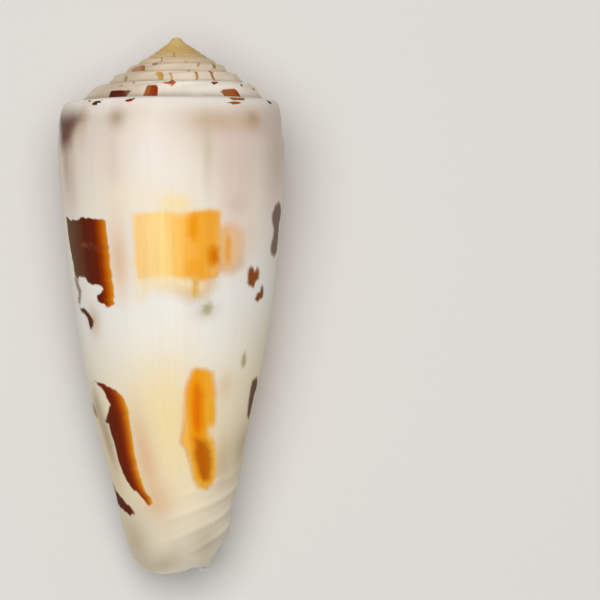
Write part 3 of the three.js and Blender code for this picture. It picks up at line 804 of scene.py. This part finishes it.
farAway = 1e9
edgePlaces = 40  # down a marking, at which its older edge is found
evenedOver, evenedShare = 0.9, 0.12  # millimetres or a share of its height, whichever is less


def edgeDistance(x, y, corners):
    # distance to an outline, more than zero inside it
    distance, inside = np.full(len(x), farAway), np.zeros(len(x), bool)
    for (x0, y0), (x1, y1) in zip(corners, np.roll(corners, -1, axis=0)):
        along = (x - x0) * (x1 - x0) + (y - y0) * (y1 - y0)
        share = np.clip(along / ((x1 - x0) ** 2 + (y1 - y0) ** 2 + 1e-9), 0, 1)
        distance = np.minimum(distance, np.hypot(x - x0 - share * (x1 - x0), y - y0 - share * (y1 - y0)))
        if y0 != y1:
            inside ^= ((y0 > y) != (y1 > y)) & (x0 + (y - y0) * (x1 - x0) / (y1 - y0) > x)
    return np.where(inside, distance, -distance)


def olderEdge(y, corners):
    # how far an outline reaches to its older side at each place down the lip, evened out a little
    (x0, y0), (x1, y1) = corners.T, np.roll(corners, -1, axis=0).T
    places = np.linspace(y0.min(), y0.max(), edgePlaces + 2)[1:-1]
    across = places[:, None]
    crossings = x0 + (across - y0) * (x1 - x0) / np.where(y1 == y0, 1, y1 - y0)
    reach = np.where((y0 > across) != (y1 > across), crossings, -farAway).max(1)
    close = np.abs(across - places) <= min(evenedOver, evenedShare * np.ptp(y0))
    return np.interp(y, places, np.where(close, reach, -farAway).max(1))


pigment = np.zeros((len(turn), 3))
farOutside = -8.0
edge = np.full(len(turn), farOutside)  # distance inside a marking's edge, in widths of that edge
strength = np.zeros(len(turn))


def lay(marking, outline, near, x, y, scale):
    # paints one marking on the corners near it, in millimetres across and down
    corners = outline * scale
    inner = edgeDistance(x, y, corners) / marking["soft"]
    colours = colourRamp(marking["colours"], olderEdge(y, corners) - x)
    solid, before = smoothStep(inner, -0.5, 0.5), smoothStep(edge[near], -0.5, 0.5)
    reach, reachBefore = smoothStep(inner, -6, 0.5), smoothStep(edge[near], -6, 0.5)
    # over another marking it has its own edge, and beside one the two colours meet half way
    share = before * solid + (1 - before) * reach / (reach + reachBefore * (1 - reach) + 1e-6)
    pigment[near] += (colours - pigment[near]) * share[:, None]
    strength[near] += (marking["cover"] - strength[near]) * share
    edge[near] = np.maximum(edge[near], np.maximum(inner, farOutside))


body = (within == 0) & (turn < 1)
# Each growth line ends a marking at a place of its own: the steps by line, fine and coarse, in
# millimetres, and the sway along the lip, in turns.
fineStep, coarseStep, sway = 0.2, 0.1, 0.0014
ragged = fineStep * ripple(turn * 170) + coarseStep * ripple(turn * 60 + 900)
swept = turn + sway * ripple(lip * 1.9 + 300)
crispEdge = 0.4  # millimetres, a softer edge than this hides the steps
reachTurn, reachLip, reachSpire = 0.05, 4, 0.04  # how far beyond its outline a marking is looked for
crownWidth = 0.075  # of the shoulder's radius, from one crown place to the next
for view, marking in inBothViews(markings):
    outline = np.array([growthAt(view, x, y)[:2] for x, y in marking["outline"]])
    (firstTurn, firstLip), (lastTurn, lastLip) = outline.min(0), outline.max(0)
    near = body & (turn > firstTurn - reachTurn) & (turn < lastTurn + reachTurn)
    near &= (lip > firstLip - reachLip) & (lip < lastLip + reachLip)
    girth = girthAt(*outline.mean(0))
    crisp = min(crispEdge / marking["soft"], 1)
    lay(marking, outline, near, swept[near] * girth, lip[near] + crisp * ragged[near], [girth, 1])
spireRows = (within == 0) & (row <= seatRow)
for view, marking in inBothViews(spireMarks):
    outline = onOneWhorl([growthAt(view, x, y) for x, y in marking["outline"]])
    firstTurn, lastTurn = outline[:, 0].min(), outline[:, 0].max()
    near = spireRows & (turn > firstTurn - reachSpire) & (turn < lastTurn + reachSpire)
    size = float(shoulderAt(firstTurn))
    scale = [2 * math.pi * size, crownWidth * size]
    lay(marking, outline, near, turn[near] * scale[0], crownPlace[near] * scale[1], scale)
print("markings laid")


def blend(colours, colour, share):
    # a colour, or a colour for each corner, laid over the colours by a share
    colour = np.array(toLinear(colour)[:3]) if isinstance(colour, str) else colour
    return colours + (colour - colours) * share[:, None]


swayedLip = lip + 0.5 * ripple(turn * 40)
belly = smoothStep(turn, 0.48, 0.6) * (1 - smoothStep(turn, 0.99, 1.02))
backGlaze, bellyGlaze = (colourRamp(glazeTints[zones], swayedLip) for zones in ("backZones", "bellyZones"))
glaze = blend(backGlaze, bellyGlaze, belly)
# lays the washes: tints in the glaze, and painted shade near the outline
for view, (x, y, halfAcross, halfDown, tone, cover) in inBothViews(washes):
    atTurn, atLip = growthAt(view, x, y)[:2]
    spread = ((turn - atTurn) * girthAt(atTurn, atLip) / halfAcross) ** 2 + ((lip - atLip) / halfDown) ** 2
    glaze = blend(glaze, glazeTones[tone], cover * np.exp(-washFalloff * spread) * body)
fasciole = smoothStep(lip - glazeTints["fascioleStart"] - 0.15 * ripple(turn * 90), -0.1, 0.35)
fasciole *= smoothStep(turn, 0.42, 0.6) * body
glaze = blend(glaze, glazeTints["fasciole"], glazeTints["fascioleCover"] * fasciole)
spire = (within == 0) * (row <= seamRow)
glaze = blend(glaze, colourRamp(glazeTints["spire"], turn), spire * smoothStep(turn, 0.9, 1.05))
# paints a lighter and a darker side on the spire's whorls, painted highlight and painted shade
for colour, side, reach, last in glazeTints["spirePaintedLightAndShade"]:
    facing = np.exp(-(((turn % 1) - side) / reach) ** 2)
    facing *= smoothStep(turn, 0.95, 1.05) * (1 - smoothStep(turn, last - 0.2, last))
    glaze = blend(glaze, colour, glazeTints["spirePaintedLightCover"] * facing * spire)
# painted shadow along the suture of each spire whorl
suture = spire * (turn > 0.95) * smoothStep(crownPlace, 5.4, 6)
glaze = blend(glaze, glazeTints["suture"], glazeTints["sutureShadowCover"] * suture)
lipMargin = body * (1 - smoothStep(turn, 0.002, 0.012))
glaze = blend(glaze, glazeTints["lipMargin"], glazeTints["lipMarginCover"] * lipMargin)
strength *= 1 - body * (1 - smoothStep(turn, 0.001, 0.01))
# darker deeper in the aperture and higher up: partly the inside's own tint, partly painted shade
deepInsideTintAndShade = smoothStep(np.where(turn > 0.75, turn - 1, turn), 0.02, 0.3)
deepInsideTintAndShade *= 1 - smoothStep(lip / shellSize["whorlGrowth"] ** turn, 58, 66)
innerColour = colourRamp([[0, glazeTints["inner"]], [1, glazeTints["innerDeepTintAndShade"]]], deepInsideTintAndShade)
glaze = blend(glaze, innerColour, within)

growthMap = shellMesh.uv_layers.new(name="growth")
growthPlaces = np.stack([turn, lip / shellSize["lipLength"]], axis=-1)
growthMap.data.foreach_set("uv", growthPlaces.astype(np.float32).ravel())
for name, values in (("edge", edge), ("strength", strength * (within == 0))):
    layer = shellMesh.attributes.new(name, "FLOAT", "CORNER")
    layer.data.foreach_set("value", values.astype(np.float32))
for name, colours in (("glaze", glaze), ("pigment", pigment)):
    layer = shellMesh.attributes.new(name, "FLOAT_COLOR", "CORNER")
    opaque = np.concatenate([colours, np.ones((len(colours), 1))], axis=1)
    layer.data.foreach_set("color", opaque.astype(np.float32).ravel())
shell = bpy.data.objects.new("shell_porcelain", shellMesh)
bpy.context.scene.collection.objects.link(shell)
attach(shell, "root")
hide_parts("shell")
print("shell coloured")

# Porcelaneous aragonite: the shell's own crossed-crystal layers, polished smooth as the mantle laid
# them down. It gives a satin gloss over pigment that lies in the layer, with fine growth lines.
porcelainLook = {
    "roughness": 0.5,
    "ior": 1.53,
    "gloss": 0.13,  # share of a clear glaze that is left on the worn surface
    "glossRoughness": 0.24,
    "turnLength": 80,  # millimetres round the shoulder
    # millimetres across the growth lines, millimetres down the lip, detail, shift
    "grains": {"streaks": [0.7, 16, 2, 0], "fineStreaks": [0.28, 7, 2, 3.7], "threads": [9, 0.5, 1, 8.1],
               "growthLines": [0.3, 9, 3, 1.9]},
    "glazeStreaks": [0.985, 1.014],  # how much the streaks darken and lighten the glaze
    "pigmentStreaks": [0.95, 1.05],
    "edgeFray": 0.02,  # of the width of a marking's edge
    "streakRange": [0.45, 0.95],  # of the grain, from the weakest streak to the strongest
    "frayRange": [0.3, 0.7],
    "fineShare": 0.4,  # of the fine streaks in the streaks
    "relief": 0.6,
    "growthLineHeight": 0.02,
    "threadHeight": 0.006,
}
porcelain = bpy.data.materials.new("porcelaneousAragonite")
porcelain.use_nodes = True
graph = porcelain.node_tree
shader = graph.nodes["Principled BSDF"]


def addNode(kind, settings, links):
    # settings name properties or inputs, links name inputs; the answer is the output in use
    node = graph.nodes.new(kind)
    for name, value in settings.items():
        if isinstance(name, str) and hasattr(node, name):
            setattr(node, name, value)
        else:
            node.inputs[name].default_value = value
    for name, source in links.items():
        graph.links.new(source, node.inputs[name])
    return next(output for output in node.outputs if output.enabled)


growth = addNode("ShaderNodeUVMap", {"uv_map": "growth"}, {})
grains = {}
for name, (across, down, detail, shift) in porcelainLook["grains"].items():
    scale = (porcelainLook["turnLength"] / across, shellSize["lipLength"] / down, 1)
    spot = addNode("ShaderNodeMapping", {"Scale": scale, "Location": (shift, shift, 0)}, {"Vector": growth})
    grains[name] = addNode("ShaderNodeTexNoise", {"noise_dimensions": "2D", "Scale": 1, "Detail": detail},
                           {"Vector": spot})
layers = {name: addNode("ShaderNodeAttribute", {"attribute_name": name}, {})
          for name in ("glaze", "pigment", "edge", "strength")}
mixed = addNode("ShaderNodeMath", {"operation": "MULTIPLY_ADD", 1: porcelainLook["fineShare"]},
                {0: grains["fineStreaks"], 2: grains["streaks"]})
faintest, strongest = porcelainLook["streakRange"]
shades = {}
for name in ("glaze", "pigment"):
    darkest, lightest = porcelainLook[name + "Streaks"]
    share = addNode("ShaderNodeMapRange", {"From Min": faintest, "From Max": strongest,
                                           "To Min": darkest, "To Max": lightest}, {"Value": mixed})
    shades[name] = addNode("ShaderNodeVectorMath", {"operation": "SCALE"}, {0: layers[name], "Scale": share})
faintest, strongest = porcelainLook["frayRange"]
edgeFray = porcelainLook["edgeFray"]
fray = addNode("ShaderNodeMapRange", {"From Min": faintest, "From Max": strongest,
                                      "To Min": -edgeFray, "To Max": edgeFray},
               {"Value": grains["fineStreaks"]})
frayed = addNode("ShaderNodeMath", {"operation": "ADD"}, {0: layers["edge"], 1: fray})
covered = addNode("ShaderNodeMapRange", {"interpolation_type": "SMOOTHSTEP",
                                         "From Min": -0.5, "From Max": 0.5}, {"Value": frayed})
coverage = addNode("ShaderNodeMath", {"operation": "MULTIPLY"}, {0: covered, 1: layers["strength"]})
surface = addNode("ShaderNodeMix", {"data_type": "RGBA"},
                  {0: coverage, 6: shades["glaze"], 7: shades["pigment"]})
graph.links.new(surface, shader.inputs["Base Color"])

shader.inputs["Roughness"].default_value = porcelainLook["roughness"]
shader.inputs["Specular IOR Level"].default_value = 0
shader.inputs["Coat Weight"].default_value = porcelainLook["gloss"]
shader.inputs["Coat Roughness"].default_value = porcelainLook["glossRoughness"]
shader.inputs["Coat IOR"].default_value = porcelainLook["ior"]
threadHeight = addNode("ShaderNodeMath", {"operation": "MULTIPLY", 1: porcelainLook["threadHeight"]},
                       {0: grains["threads"]})
height = addNode("ShaderNodeMath", {"operation": "MULTIPLY_ADD", 1: porcelainLook["growthLineHeight"]},
                 {0: grains["growthLines"], 2: threadHeight})
# The heights are in millimetres.
relief = addNode("ShaderNodeBump", {"Strength": porcelainLook["relief"], "Distance": 0.001},
                 {"Height": height})
graph.links.new(relief, shader.inputs["Normal"])
shellMesh.materials.append(porcelain)
print("porcelain made")

across, upward, facing, eye = viewFrom("back")
middlePixel = photo["imagePixels"] / 2
back = (eye - pointSeen("back", middlePixel, middlePixel)).normalized()
right = upward.cross(back).normalized()
cameraSize = {"sensorWidth": 36, "clipStart": 0.01}  # millimetres and metres
camera = bpy.data.objects.new("camera", bpy.data.cameras.new("camera"))
camera.data.sensor_width = cameraSize["sensorWidth"]
camera.data.lens = camera.data.sensor_width * photo["distancePixels"] / photo["imagePixels"]
camera.data.clip_start = cameraSize["clipStart"]
facingPhoto = Matrix((right, back.cross(right), back)).transposed().to_4x4()
camera.matrix_world = Matrix.Translation(eye / 1000) @ facingPhoto
bpy.context.scene.collection.objects.link(camera)
bpy.context.scene.camera = camera
print("camera placed")

studio = {
    "floorColour": "#DEDBD6",
    "floorSize": 4,
    "floorRoughness": 0.9,
    "worldStrength": 0.28,
    "keyWatts": 4.9,
    "keySize": 0.7,
    "keyPlace": (-0.06, 0.05, 0.75),
}
bpy.ops.mesh.primitive_plane_add(size=studio["floorSize"])
floor = bpy.context.object
floor.name = "floor"
# Matte paper, which takes the soft shadow and sends no glint back.
paper = bpy.data.materials.new("mattePaper")
paper.use_nodes = True
paperInputs = paper.node_tree.nodes["Principled BSDF"].inputs
paperInputs["Base Color"].default_value = toLinear(studio["floorColour"])
paperInputs["Roughness"].default_value = studio["floorRoughness"]
floor.data.materials.append(paper)

world = bpy.data.worlds.new("studio")
bpy.context.scene.world = world
world.use_nodes = True
world.node_tree.nodes["Background"].inputs["Color"].default_value = (1, 1, 1, 1)
world.node_tree.nodes["Background"].inputs["Strength"].default_value = studio["worldStrength"]
key = bpy.data.objects.new("key", bpy.data.lights.new("key", "AREA"))
key.data.shape = "DISK"
key.data.size = studio["keySize"]
key.data.energy = studio["keyWatts"]
key.location = Vector(studio["keyPlace"])
key.rotation_euler = (Vector((0, 0, 0)) - key.location).to_track_quat("-Z", "Y").to_euler()
bpy.context.scene.collection.objects.link(key)
bpy.context.scene.view_settings.view_transform = "Standard"
print("studio lit")
